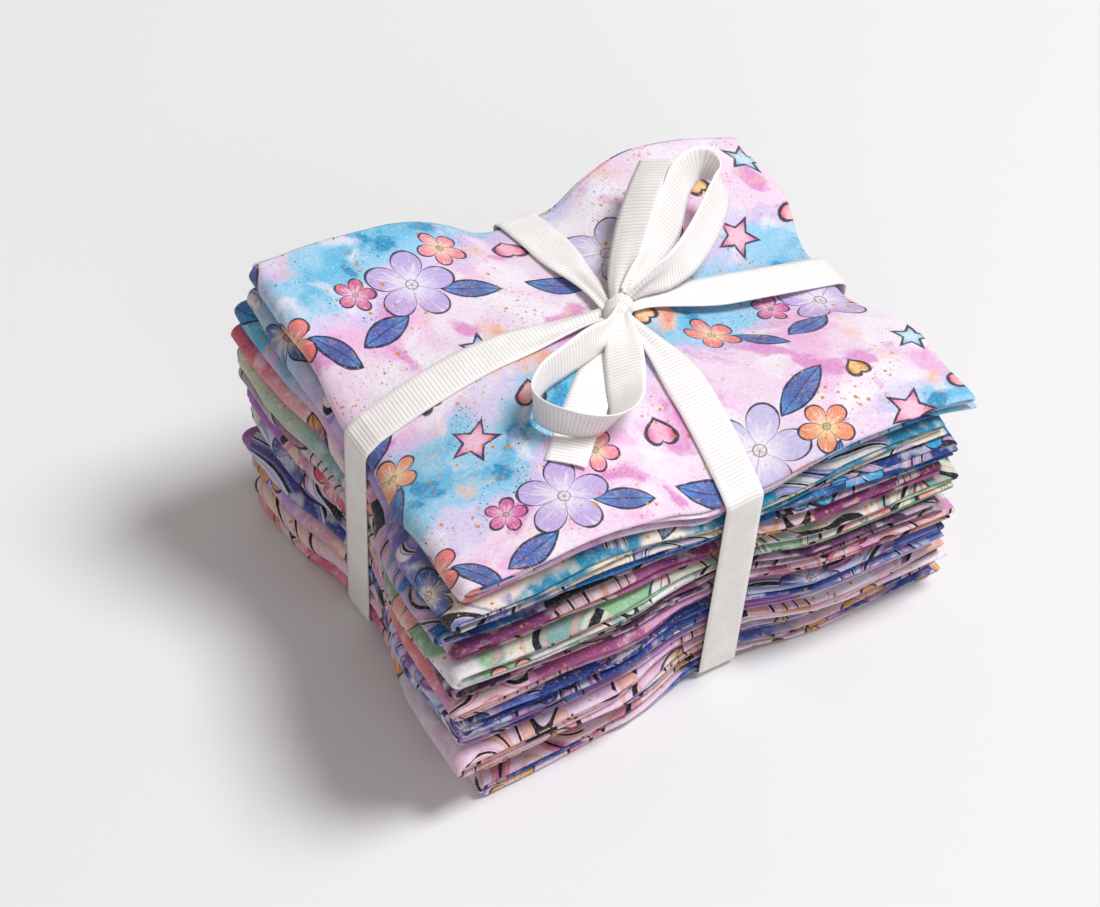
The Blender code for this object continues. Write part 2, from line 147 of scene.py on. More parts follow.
def smoothstep(low, high, value):
    """0 below low, 1 above high, softly between."""
    t = np.clip((value - low) / (high - low), 0, 1)
    return t * t * (3 - 2 * t)


def flattened(value, middle):
    """A place near a turn of ribbon, drawn to the turn's middle where the turn presses it flat."""
    away = value - middle
    return middle + away * smoothstep(0.55 * PRESSED, 3.2 * PRESSED, np.abs(away))


class Waves:
    """A gentle unevenness along one direction, the same each time for the same seed."""

    def __init__(self, random, lengths, heights):
        self.waves = [
            (2 * pi / length, height, random.uniform(0, 2 * pi))
            for length, height in zip(lengths, heights)
        ]

    def __call__(self, at):
        return sum(height * np.sin(k * at + phase) for k, height, phase in self.waves)


RANDOM = np.random.default_rng(SEED)
SURFACE_WAVES = [
    (RANDOM.uniform(0, pi), Waves(RANDOM, (43.0, 24.0, 13.0), (0.22, 0.10, 0.03)))
    for _ in range(4)
]
# How the upper face rounds off at its edges, and how far in from them
EDGES = {"left": -68.0, "right": 72.0, "front": -55.0, "back": 54.0}
SHOULDER = 0.3
SHOULDER_REACH = 2.2
# How much a packet thins at its rim, and each of its four bars at the rims that are not folded
RIM_SQUEEZE = 0.17
BAR_SQUEEZE = 0.44
BAR_UNEVEN = 0.055
RIM_REACH = 2.2


def upper_face(x, y):
    """Height of the stack's upper face."""
    flat_x, flat_y = flattened(x, CROSS_X), flattened(y, CROSS_Y)
    shape = np.shape(flat_x + flat_y)
    flat_x, flat_y = (np.broadcast_to(v, shape).ravel() for v in (flat_x, flat_y))
    along = np.array([smooth_between(HEIGHT_X, row, flat_x) for row in HEIGHT])
    height = smooth_between(HEIGHT_Y, along, flat_y).reshape(shape)
    uneven = sum(wave(x * cos(turn) + y * sin(turn)) for turn, wave in SURFACE_WAVES)
    edge = np.minimum.reduce(
        [x - EDGES["left"], EDGES["right"] - x, y - EDGES["front"], EDGES["back"] - y]
    )
    shoulder = SHOULDER * np.exp(-np.maximum(edge, 0) / SHOULDER_REACH)
    return height + uneven - shoulder


def base_face(x, y):
    """Height of the stack's underside: flat on the table, raised where the ribbon passes."""
    near = np.minimum(np.abs(x - CROSS_X), np.abs(y - CROSS_Y))
    return GROOVE * (1 - smoothstep(PRESSED, PRESSED + 14.0, near))


TOTAL_SHARE = sum(q.share for q in FAT_QUARTERS)


def shares_of(index):
    """The part of the stack's height that a piece takes up, from its underside to its top."""
    low = sum(q.share for q in FAT_QUARTERS[index + 1 :]) / TOTAL_SHARE
    high = low + FAT_QUARTERS[index].share / TOTAL_SHARE
    last = len(FAT_QUARTERS) - 1
    return low + (PIECE_GAP / 2 if index < last else 0), high - (PIECE_GAP / 2 if index else 0)


def height_in(index, x, y, part):
    """Height of a place within a piece, where part runs from 0 at its underside to 1."""
    low, high = shares_of(index)
    base = base_face(x, y)
    return base + (upper_face(x, y) - base) * (low + (high - low) * part)


def held(edge, side, index, away):
    """An edge drawn in to the ribbon, most where the ribbon crosses it."""
    low, high = PINCH[side]
    limit = low + (high - low) * shares_of(index)[0]
    pull = 1 - smoothstep(PRESSED, PRESSED + PINCH_REACH, np.abs(away))
    inward = 1 if side in ("left", "front") else -1
    return edge + inward * np.maximum(inward * (limit - edge), 0) * pull


def warped(x, y, z):
    """The ribbon draws the cloth near it askew, more so towards the table."""
    near_long_turn = np.exp(-(((y - CROSS_Y) / WARP_REACH) ** 2))
    near_cross_turn = np.exp(-(((x - CROSS_X) / WARP_REACH) ** 2))
    depth = np.maximum(0.0, 1 - z / WARP_TOP)
    leftness = np.maximum(0.0, -x / HEIGHT_X[-1])
    shift_x = LEAN_FRONT * depth * near_cross_turn
    shift_y = (LEAN_LEFT * depth * leftness + SKEW * (x - CROSS_X)) * near_long_turn
    return np.stack([x + shift_x, y + shift_y, z], axis=-1)


def spread(edge_steps, inner_step, length):
    """Places from 0 to 1 along a stretch of that length, closer together near both ends."""
    middle = length - 2 * edge_steps[-1]
    count = max(2, int(round(middle / inner_step)))
    inner = edge_steps[-1] + middle * np.arange(1, count) / count
    return np.concatenate([edge_steps, inner, length - np.array(edge_steps[::-1])]) / length


class FoldedCloth:
    """One fat quarter folded in four both ways. First across, into a strip of four layers, then
    along, into a packet of sixteen."""

    def __init__(self, index, steps_x, steps_y, turn_steps, flip_front):
        self.index = index
        self.quarter = FAT_QUARTERS[index]
        self.flip_front = flip_front
        self.pitch = LAYER_PITCH * self.quarter.share
        self.make_waves(np.random.default_rng(SEED + 7 * index + 1))
        self.along = self.long_way(steps_x, turn_steps)
        self.across = self.short_way(steps_y, turn_steps)

    def make_waves(self, r):
        """The unevenness of this piece. The order of the draws is part of its look."""
        self.left_wave = Waves(r, (61, 29, 17), (0.4, 0.2, 0.06))
        self.right_wave = Waves(r, (61, 29, 17), (0.7, 0.4, 0.1))
        self.front_waves = [Waves(r, (83, 37, 19), (0.5, 0.2, 0.06)) for _ in range(4)]
        self.back_waves = [Waves(r, (83, 37, 19), (0.6, 0.3, 0.06)) for _ in range(4)]
        self.front_recess = r.uniform(0.0, 2.3, 4)
        self.front_recess[3] *= 0.3
        self.back_recess = r.uniform(0.0, 2.2, 4)
        self.share_waves = [Waves(r, (120, 47, 23), (0.35, 0.25, 0.12)) for _ in range(3)]
        self.free_ends = r.uniform(0.3, 2.6, 4)

    def long_way(self, steps, turns):
        """Stations along the strip: their kind, the level or the two that a fold joins, and the
        place from left to right, or the angle in a fold."""
        stations = []
        angles = np.linspace(0, pi, turns[0] + 2)[1:-1]
        small = np.linspace(0, pi, turns[1] + 2)[1:-1]
        rows = (
            ("straight", 0, steps[::-1]),
            ("left outer", (0, 3), angles),
            ("straight", 3, steps),
            ("right", (3, 2), small),
            ("straight", 2, steps[::-1]),
            ("left inner", (2, 1), small),
            ("straight", 1, steps),
        )
        for kind, level, values in rows:
            stations += [(kind, level, value) for value in values]
        return stations

    def short_way(self, steps, turns):
        """Stations across the strip: place from front to back, height in the strip, how far
        they stand out past a fold, and where they are."""
        outer = np.linspace(0, pi, turns[1] + 2)[1:-1]
        inner = np.linspace(0, pi, max(turns[1] - 1, 2) + 2)[1:-1]
        rows = [(s, 0.5, 0.0, "level 0") for s in steps[::-1]]
        rows += [(0.0, 2 - 1.5 * cos(a), -1.5 * sin(a), "front") for a in outer]
        rows += [(s, 3.5, 0.0, "level 3") for s in steps]
        rows += [(1.0, 3 + 0.5 * cos(a), 0.5 * sin(a), "back") for a in inner]
        rows += [(s, 2.5, 0.0, "level 2") for s in steps[::-1]]
        rows += [(0.0, 2 + 0.5 * cos(a), -0.5 * sin(a), "front") for a in inner]
        rows += [(s, 1.5, 0.0, "level 1") for s in steps]
        return rows

    def surface(self):
        """The middle of the cloth as a grid of points, long way first."""
        place, height, offset, free = (np.array(column) for column in zip(*self.across))
        grid = []
        for kind, level, value in self.along:
            if kind == "straight":
                blend, along = (level, level, 0.0), value
                z = {0: height, 1: 8 - height, 2: 8 + height, 3: 16 - height}[level]
                out = 0.0 * height
            else:
                start, end = level
                blend = (start, end, (1 - cos(value)) / 2)
                centre = {"left outer": 8, "right": 12, "left inner": 8}[kind]
                radius = {"left outer": 8 - height, "right": 4 - height, "left inner": height}[kind]
                sign = -1 if kind == "left outer" else 1
                z = centre + sign * radius * cos(value)
                out = radius * sin(value)
                along = 0.0 if kind.startswith("left") else 1.0
            grid.append(self.row(along, blend, z, out, place, offset, free, kind))
        return np.array(grid)

    def row(self, along, blend, z, out, place, offset, free, kind):
        """One line of points across the strip. Blend holds the two levels that it lies between
        and its place from the one to the other."""
        q, pitch = self.quarter, self.pitch
        first, second, mix = blend
        free_share = smoothstep(0.8, 1.0, place)
        if self.flip_front:
            place, offset = 1 - place, -offset

        def mixed(values):
            return values[first] * (1 - mix) + values[second] * mix

        rough_x = PACKET_LEFT + PACKET_LENGTH * along
        rough_y = PACKET_FRONT + PACKET_DEPTH * place
        left = q.left_front + (q.left_back - q.left_front) * place + self.left_wave(rough_y)
        right = q.right_front + (q.right_back - q.right_front) * place + self.right_wave(rough_y)
        left = held(left, "left", self.index, rough_y - CROSS_Y)
        right = held(right, "right", self.index, rough_y - CROSS_Y)
        fold_left = left + 8 * pitch
        small_fold = right - 4 * pitch - q.tuck
        cut_ends = [right - self.free_ends[0], right - q.tuck - self.free_ends[1]]
        fold_right = mixed(cut_ends + [small_fold, small_fold])
        x = fold_left + (fold_right - fold_left) * along
        x = x + (-out if kind.startswith("left") else out) * pitch
        recess_front = mixed(self.front_recess) + mixed([w(rough_x) for w in self.front_waves])
        recess_back = mixed(self.back_recess) + mixed([w(rough_x) for w in self.back_waves])
        front = q.front_left + (q.front_right - q.front_left) * along
        back = q.back_left + (q.back_right - q.back_left) * along
        front = held(front, "front", self.index, rough_x - CROSS_X)
        back = held(back, "back", self.index, rough_x - CROSS_X)
        fold_front = front + np.maximum(recess_front, 0) + 2 * pitch
        fold_back = back - np.maximum(recess_back, 0) - 0.5 * pitch
        y = fold_front + (fold_back - fold_front) * place + offset * pitch
        set_back = np.where(free == "level 0", self.free_ends[2], 0)
        set_back = np.where(free == "level 1", self.free_ends[3], set_back) * free_share
        y = y + (set_back if self.flip_front else -set_back)
        rim = np.minimum.reduce([x - left, right - x, y - front, back - y])
        squeeze = 1 - RIM_SQUEEZE * np.exp(-np.maximum(rim, 0) / RIM_REACH)
        open_rim = np.minimum.reduce([right - x, y - front, back - y])
        parted = BAR_SQUEEZE * smoothstep(1.0, 7.0, x - left)
        bars = 1 - parted * np.exp(-np.maximum(open_rim, 0) / RIM_REACH)
        part = 0.5 + (self.uneven_part(z / LAYERS, x, y, bars) - 0.5) * squeeze
        return warped(x, y, height_in(self.index, x, y, part))

    def uneven_part(self, part, x, y, bars):
        """The four bars of a packet are not of one height, and part a little at its rim."""
        knots = [0.0]
        for i, wave in enumerate(self.share_waves):
            knots.append((i + 1) / 4 + BAR_UNEVEN * wave(x + 0.6 * y))
        knots.append(1.0)
        result = np.zeros_like(part)
        for i in range(4):
            inside = (part >= i / 4) & (part <= (i + 1) / 4)
            share = 0.5 + ((part - i / 4) * 4 - 0.5) * bars
            value = knots[i] + (knots[i + 1] - knots[i]) * share
            result = np.where(inside, value, result)
        return result


def linked(name, data):
    """A new object in the scene, made of this data."""
    made = bpy.data.objects.new(name, data)
    bpy.context.scene.collection.objects.link(made)
    return made


def add_mesh(name, points, faces, places):
    """An object of the points, in the stack's millimetres, and four-cornered faces. Its UV map
    holds the place of each point on the flat cloth."""
    mesh = bpy.data.meshes.new(name)
    mesh.from_pydata(((points - MIDDLE) * MM).tolist(), [], faces.tolist())
    mesh.shade_smooth()
    corners = np.empty(len(mesh.loops), np.int32)
    mesh.loops.foreach_get("vertex_index", corners)
    layer = mesh.uv_layers.new(name="Cloth")
    layer.uv.foreach_set("vector", places[corners].astype(np.float32).ravel())
    return linked(name, mesh)


def unit(vectors):
    """The vectors at a length of 1."""
    return vectors / np.maximum(np.linalg.norm(vectors, axis=-1, keepdims=True), 1e-9)


def normals_of(grid, closed=False):
    """Unit normals of a grid of points."""
    if closed:
        along = np.roll(grid, -1, 0) - np.roll(grid, 1, 0)
    else:
        along = np.gradient(grid, axis=0)
    return unit(np.cross(along, np.gradient(grid, axis=1)))


def shell(upper, lower, closed=False):
    """Points and faces of the closed body between two grids of points."""
    rows, columns = upper.shape[:2]
    count = rows * columns
    number = np.arange(count).reshape(rows, columns)
    here, after = (number, np.roll(number, -1, 0)) if closed else (number[:-1], number[1:])

    def quads(a, b, c, d):
        return np.stack([a, b, c, d], axis=-1).reshape(-1, 4)

    def rim(a, b):
        return quads(a, a + count, b + count, b)

    faces = [
        quads(here[:, :-1], after[:, :-1], after[:, 1:], here[:, 1:]),
        quads(here[:, 1:], after[:, 1:], after[:, :-1], here[:, :-1]) + count,
        rim(here[:, 0], after[:, 0]),
        rim(after[:, -1], here[:, -1]),
    ]
    if not closed:
        faces += [rim(number[0, 1:], number[0, :-1]), rim(number[-1, :-1], number[-1, 1:])]
    return np.concatenate([upper.reshape(-1, 3), lower.reshape(-1, 3)]), np.concatenate(faces)


def thickened(grid, above, below, closed=False):
    """The body of a thin sheet, which reaches this far above and below the grid of its middle."""
    normal = normals_of(grid, closed)
    return shell(grid + normal * above, grid - normal * below, closed)


def lengths_along(path):
    """How far along the path each of its points lies, or the mean of that for paths side by side."""
    steps = np.linalg.norm(np.diff(path, axis=0), axis=-1)
    return np.concatenate([[0.0], np.cumsum(steps.reshape(len(steps), -1).mean(axis=1))])


def flat_places(along, across):
    """Places in metres on the flat cloth for each point of a thin body, the same on both faces."""
    u, v = np.meshgrid(along, across, indexing="ij")
    places = np.stack([u.ravel(), v.ravel()], axis=1) * MM
    return np.concatenate([places, places])


def cloth_map(grid):
    """The places on the flat cloth, from the mean lengths along and across the grid."""
    return flat_places(lengths_along(grid), lengths_along(grid.swapaxes(0, 1)))


# Steps of the mesh of a fat quarter in millimetres, and those round its big and small folds
EDGE_STEPS = (0.0, 0.5, 1.2, 2.2, 3.8, 6.0)
Fineness = namedtuple("Fineness", "step_x step_y turns")
TOP_PIECE = Fineness(2.6, 2.6, (9, 4))
LOWER_PIECE = Fineness(7.0, 9.0, (7, 3))
NEAR_SIDE_UP = (2, 5, 8, 10)


def fat_quarter(index):
    """One folded fat quarter, counted from the top."""
    name = f"folded_print_{index + 1:02d}"
    fineness = LOWER_PIECE if index else TOP_PIECE
    steps_x = spread(EDGE_STEPS, fineness.step_x, STRAIGHT_LENGTH)
    steps_y = spread(EDGE_STEPS, fineness.step_y, STRAIGHT_DEPTH)
    cloth = FoldedCloth(index, steps_x, steps_y, fineness.turns, index in NEAR_SIDE_UP)
    grid = cloth.surface()
    return add_mesh(name, *thickened(grid, CLOTH_THICK / 2, CLOTH_THICK / 2), cloth_map(grid))


# Detail of the ribbon: ribs across it and its two faces
RIB_PITCH = 1.0
RIB_HEIGHT = 0.13
BACK_RIB_HEIGHT = 0.04
RIBBON_THICK = 0.32
STEPS_PER_RIB = 4
RIBBON_COLUMNS = 9
# Ribs are this blunt, and fade out between these shares of the half width
RIB_POWER = 0.8
RIBS_FADE = (0.86, 0.99)
# The turns lie this far off the cloth, and are rounded at corners in steps of this angle
RIBBON_CLEAR = 0.3
CORNER_STEP = radians(12)
# How far the edges of a loop or tail curl up over its middle
CUPPED = 0.35


def stack_outline(along_x, v):
    """The stack's section under one line of a turn, as the taut outline that the ribbon takes."""
    middle = CROSS_Y if along_x else CROSS_X
    low_side, high_side = ("left", "right") if along_x else ("front", "back")
    cut = middle + v * RIBBON_WIDTH / 2
    at = np.linspace(*READ_FROM_TO[low_side], READINGS)
    x, y = (at, np.full_like(at, cut)) if along_x else (np.full_like(at, cut), at)
    low_edge, high_edge = PINCH[low_side][1], PINCH[high_side][1]
    start, end = low_edge + TOP_END[low_side], high_edge - TOP_END[high_side]
    points = [(a, z) for a, z in zip(at, upper_face(x, y)) if start < a < end]
    for side, inside in ((low_side, 1), (high_side, -1)):
        low, high = PINCH[side]
        edge_x, edge_y = (high, cut) if along_x else (cut, high)
        crown = float(upper_face(np.array(edge_x), np.array(edge_y)))
        reach = BEND_REACH[side]
        for k in range(BEND_STEPS + 1):
            angle = pi / 2 * k / BEND_STEPS
            points.append(
                (high + inside * reach * (1 - cos(angle)), crown - reach * (1 - sin(angle)))
            )
        points.append((low, FOOT_HEIGHT))
        points.append((low + inside * FOOT_IN, FOOT_LOW))
    return np.array(points)


def taut(points):
    """The convex outline around the points, clockwise from its lowest left."""
    points = sorted(map(tuple, points))

    def half(path):
        kept = []
        for p in path:
            while len(kept) > 1 and cross(kept[-2], kept[-1], p) >= 0:
                kept.pop()
            kept.append(p)
        return kept

    def cross(a, b, c):
        return (b[0] - a[0]) * (c[1] - a[1]) - (b[1] - a[1]) * (c[0] - a[0])

    upper = half(points)
    lower = half(points[::-1])
    return np.array(upper[:-1] + lower[:-1])


def offset_outline(outline, away):
    """The outline moved outwards, rounded at its corners."""
    out = []
    count = len(outline)
    for i, point in enumerate(outline):
        before, after = outline[i - 1], outline[(i + 1) % count]
        first = np.arctan2(*(point - before)[::-1]) + pi / 2
        second = np.arctan2(*(after - point)[::-1]) + pi / 2
        turn = (second - first + pi) % (2 * pi) - pi
        steps = max(1, int(abs(turn) / CORNER_STEP))
        for k in range(steps + 1):
            a = first + turn * k / steps
            out.append(point + away * np.array((cos(a), sin(a))))
    return np.array(out)


def resampled(outline, count):
    """The closed outline at evenly spaced places, from its leftmost lower part round."""
    closed = np.vstack([outline, outline[:1]])
    lengths = lengths_along(closed)
    at = np.linspace(0, lengths[-1], count, endpoint=False)
    return np.stack([np.interp(at, lengths, closed[:, k]) for k in range(2)], axis=1)


def ribbed(grid, closed):
    """Both faces of the ribbon over a grid of its middle. Ribs stand highest on its first face."""
    rows, columns = grid.shape[:2]
    rib = np.abs(np.sin(pi * np.arange(rows) / STEPS_PER_RIB))[:, None] ** RIB_POWER
    edge = np.abs(np.linspace(-1, 1, columns))[None, :]
    inside = 1 - smoothstep(*RIBS_FADE, edge)
    up = RIBBON_THICK / 2 + RIB_HEIGHT * rib * inside
    down = RIBBON_THICK / 2 + BACK_RIB_HEIGHT * rib * inside
    return thickened(grid, up[..., None], down[..., None], closed)


def ribbon_map(rows, columns):
    """Places on the flat ribbon, for both faces of a grid of its middle."""
    along = np.arange(rows) * RIB_PITCH / STEPS_PER_RIB
    return flat_places(along, np.linspace(0, RIBBON_WIDTH, columns))


# The turns are gathered near the knot: to this share of their width, between these distances from
# it, in pleats of this height, and lifted off the cloth
GATHERED_SHARE = 0.45
GATHER_FROM, GATHER_TO = 5.0, 30.0
PLEATS = 5.5
TURN_PLEAT_HEIGHT, LOOP_PLEAT_HEIGHT = 0.9, 1.3
GATHER_LIFT = 1.6
TOP_RUN_FROM, TOP_RUN_TO = 30.0, 45.0
# The turn that crosses lies over the other one, and bows to the right on its way to the front
CROSSING_LIFT = 0.35
FRONT_RUN_BOW = 3.0


def turn_of_ribbon(along_x):
    """One closed turn round the stack, gathered where it runs into the knot."""
    places = np.linspace(-1, 1, RIBBON_COLUMNS)
    lift = 0.0 if along_x else CROSSING_LIFT
    outlines = [
        offset_outline(taut(stack_outline(along_x, v)), RIBBON_CLEAR + lift) for v in places
    ]
    middle = outlines[RIBBON_COLUMNS // 2]
    length = lengths_along(np.vstack([middle, middle[:1]]))[-1]
    count = int(round(length / RIB_PITCH)) * STEPS_PER_RIB
    columns = []
    for v, outline in zip(places, outlines):
        path = resampled(outline, count)
        run, z = path[:, 0], path[:, 1]
        on_top = smoothstep(TOP_RUN_FROM, TOP_RUN_TO, z)
        from_knot = np.abs(run - (CROSS_X if along_x else CROSS_Y))
        loose = smoothstep(GATHER_FROM, GATHER_TO, from_knot)
        gathered = (1 - GATHERED_SHARE) * (1 - loose) * on_top
        side = (CROSS_Y if along_x else CROSS_X) + v * RIBBON_WIDTH / 2 * (1 - gathered)
        z = z + gathered * (TURN_PLEAT_HEIGHT * np.sin(v * PLEATS) + GATHER_LIFT)
        if along_x:
            x, y = run, side
        else:
            before = np.clip((CROSS_Y - run) / (CROSS_Y - PINCH["front"][1]), 0, 1)
            x, y = side + FRONT_RUN_BOW * np.sin(pi * before**0.8) * on_top, run
        columns.append(warped(x, y, z))
    grid = np.stack(columns, axis=1)
    if not along_x:
        grid = grid[:, ::-1]
    return ribbed(grid, True), ribbon_map(count, RIBBON_COLUMNS), length


# Route of a loop or a tail: the middle of the ribbon, its height above the cloth under it, the
# angle at which its width stands up from the cloth, and its width, less where the knot gathers it
Station = namedtuple("Station", "x y above stands width")
LOOPS_AND_TAILS = {
    "near_loop": (
        Station(9.0, 3.0, 4.2, 70.0, 4.0),
        Station(2.0, -3.5, 5.4, 76.0, 7.0),
        Station(-5.0, -7.0, 6.0, 82.0, 9.5),
        Station(-13.0, -9.4, 6.3, 86.0, 10.0),
        Station(-21.0, -11.8, 6.4, 88.0, 10.0),
        Station(-26.5, -16.5, 6.4, 88.0, 10.0),
        Station(-26.0, -22.5, 6.3, 86.0, 10.0),
        Station(-20.5, -28.2, 6.1, 80.0, 10.0),
        Station(-13.5, -30.0, 5.9, 64.0, 10.0),
        Station(-7.5, -26.5, 5.5, 42.0, 10.0),
        Station(-3.0, -19.0, 5.0, 24.0, 10.0),
        Station(2.0, -9.5, 4.6, 14.0, 9.0),
        Station(7.5, 1.0, 4.4, 10.0, 5.0),
    ),
    "far_loop": (
        Station(11.0, 4.5, 4.4, 60.0, 4.0),
        Station(19.0, 5.6, 7.0, 90.0, 8.0),
        Station(31.0, 10.0, 10.5, 112.0, 10.0),
        Station(44.0, 18.5, 13.5, 118.0, 10.0),
        Station(50.5, 25.0, 15.0, 104.0, 10.0),
        Station(48.5, 30.5, 15.5, 80.0, 10.0),
        Station(41.5, 28.5, 14.5, 64.0, 10.0),
        Station(32.0, 19.5, 11.0, 56.0, 10.0),
        Station(21.5, 11.0, 7.5, 54.0, 8.0),
        Station(12.0, 6.0, 4.6, 50.0, 4.0),
    ),
    "near_tail": (
        Station(9.0, 3.0, 2.8, 0.0, 5.0),
        Station(2.0, -4.0, 1.5, 0.0, 8.0),
        Station(-8.0, -13.5, 0.6, 0.0, 10.0),
        Station(-18.0, -23.0, 0.5, 0.0, 10.0),
        Station(-27.5, -32.4, 0.6, 0.0, 10.0),
    ),
    "far_tail": (
        Station(10.0, 5.0, 4.0, 12.0, 5.0),
        Station(15.0, 12.0, 6.0, 20.0, 8.0),
        Station(24.0, 22.0, 10.5, 24.0, 10.0),
        Station(32.0, 29.5, 13.5, 22.0, 10.0),
        Station(39.0, 35.5, 14.5, 20.0, 10.0),
    ),
}


def loop_or_tail(stations, turned_over):
    """A length of ribbon along its stations."""
    knots = np.arange(len(stations), dtype=float)
    fine = np.linspace(0, knots[-1], 400)
    values = {
        name: smooth_between(knots, [getattr(s, name) for s in stations], fine)
        for name in Station._fields
    }
    z = upper_face(values["x"], values["y"]) + values["above"]
    path = np.stack([values["x"], values["y"], z], axis=1)
    lengths = lengths_along(path)
    count = int(round(lengths[-1] / RIB_PITCH)) * STEPS_PER_RIB + 1
    at = np.linspace(0, lengths[-1], count)
    path = np.stack([np.interp(at, lengths, path[:, k]) for k in range(3)], axis=1)
    stands = np.radians(np.interp(at, lengths, values["stands"]))[:, None]
    width = np.interp(at, lengths, values["width"])[:, None, None]
    ahead = unit(np.gradient(path, axis=0))
    level = unit(np.cross(ahead, (0, 0, 1)))
    upright = np.cross(level, ahead)
    across = level * np.cos(stands) + upright * np.sin(stands)
    places = np.linspace(-1, 1, RIBBON_COLUMNS)[None, :, None]
    gather = 1 - width / RIBBON_WIDTH
    rise = (places**2 - 0.4) * CUPPED + np.sin(places * PLEATS) * gather * LOOP_PLEAT_HEIGHT
    grid = path[:, None, :] + across[:, None, :] * places * width / 2
    grid = grid + np.cross(ahead, across)[:, None, :] * rise
    if turned_over:
        grid = grid[:, ::-1]
    return ribbed(grid, False), ribbon_map(count, RIBBON_COLUMNS), lengths[-1]


# The knot: its place, its height over the cloth, the ways that the bow and its width run, its half
# width and its reach to the side and up, and the pleats of its turn
KNOT = (8.5, 3.2)
KNOT_ABOVE = 3.7
BOW_WAY = np.array((0.76, 0.65, 0.0))
SIDE_WAY = np.array((0.65, -0.76, 0.0))
KNOT_HALF_WIDTH = 3.0
KNOT_REACH_SIDE, KNOT_REACH_UP = 3.0, 2.9
KNOT_SLANT = 0.8
KNOT_ROUND = 0.88
KNOT_PLEATS = 9.5
KNOT_ROWS, KNOT_COLUMNS = 96, 21


def knot():
    """The ribbon's turn over the middle of the bow, gathered into pleats."""
    middle = np.array((*KNOT, float(upper_face(np.array(KNOT[0]), np.array(KNOT[1]))) + KNOT_ABOVE))
    angle = np.linspace(0, 2 * pi, KNOT_ROWS, endpoint=False)[:, None]
    place = np.linspace(-1, 1, KNOT_COLUMNS)[None, :]
    bulge = np.sqrt(1 - KNOT_ROUND * place**2)
    pleats = 0.26 * np.cos(place * KNOT_PLEATS + 0.9 * np.sin(angle))
    pleats = pleats + 0.12 * np.sin(angle * 3 + place * 3)
    side = (KNOT_REACH_SIDE + pleats) * bulge * np.cos(angle)
    up = (KNOT_REACH_UP + pleats) * bulge * np.sin(angle)
    along = place * KNOT_HALF_WIDTH + KNOT_SLANT * np.sin(angle + 0.6)
    grid = middle + SIDE_WAY * side[..., None] + BOW_WAY * along[..., None]
    grid = grid + np.array((0.0, 0.0, 1.0)) * up[..., None]
    body = thickened(grid, RIBBON_THICK / 2, RIBBON_THICK / 2, True)
    return body, ribbon_map(KNOT_ROWS, KNOT_COLUMNS), 0.0


def ribbon():
    """All of the ribbon as one mesh, and its length in metres."""
    bodies = [turn_of_ribbon(True), turn_of_ribbon(False)]
    for name, stations in LOOPS_AND_TAILS.items():
        bodies.append(loop_or_tail(stations, name == "far_tail"))
    bodies.append(knot())
    points, faces, places, count = [], [], [], 0
    for (body_points, body_faces), body_places, _ in bodies:
        points.append(body_points)
        faces.append(body_faces + count)
        places.append(body_places)
        count += len(body_points)
    joined = (np.concatenate(part) for part in (points, faces, places))
    return add_mesh("grosgrain_ribbon", *joined), sum(length for _, _, length in bodies) * MM


# Materials. Places on the cloth are in millimetres of the flat sheet.
def method(operation, swapped=False):
    """A method of Value that does this operation of the Math node."""

    def apply(self, *others):
        return self.paint.math(operation, *((*others, self) if swapped else (self, *others)))

    return apply


class Value:
    """A number that changes over the cloth, for writing sums of shader nodes."""

    def __init__(self, paint, socket):
        self.paint, self.socket = paint, socket

    __add__, __radd__ = method("ADD"), method("ADD", True)
    __sub__, __rsub__ = method("SUBTRACT"), method("SUBTRACT", True)
    __mul__, __rmul__ = method("MULTIPLY"), method("MULTIPLY", True)
    __truediv__, __pow__ = method("DIVIDE"), method("POWER")
    __abs__, cos, sin = method("ABSOLUTE"), method("COSINE"), method("SINE")
    # Up and down between 0 and a length
    folded = method("PINGPONG")


def preset(node, values):
    """Sets a node's sockets by their names."""
    for name, value in values.items():
        node.inputs[name].default_value = value
    return node


def linear(colour):
    """A colour written as #rrggbb, in the linear values that shaders use."""
    parts = [int(colour[k : k + 2], 16) / 255 for k in (1, 3, 5)]
    return tuple(c / 12.92 if c <= 0.04045 else ((c + 0.055) / 1.055) ** 2.4 for c in parts)


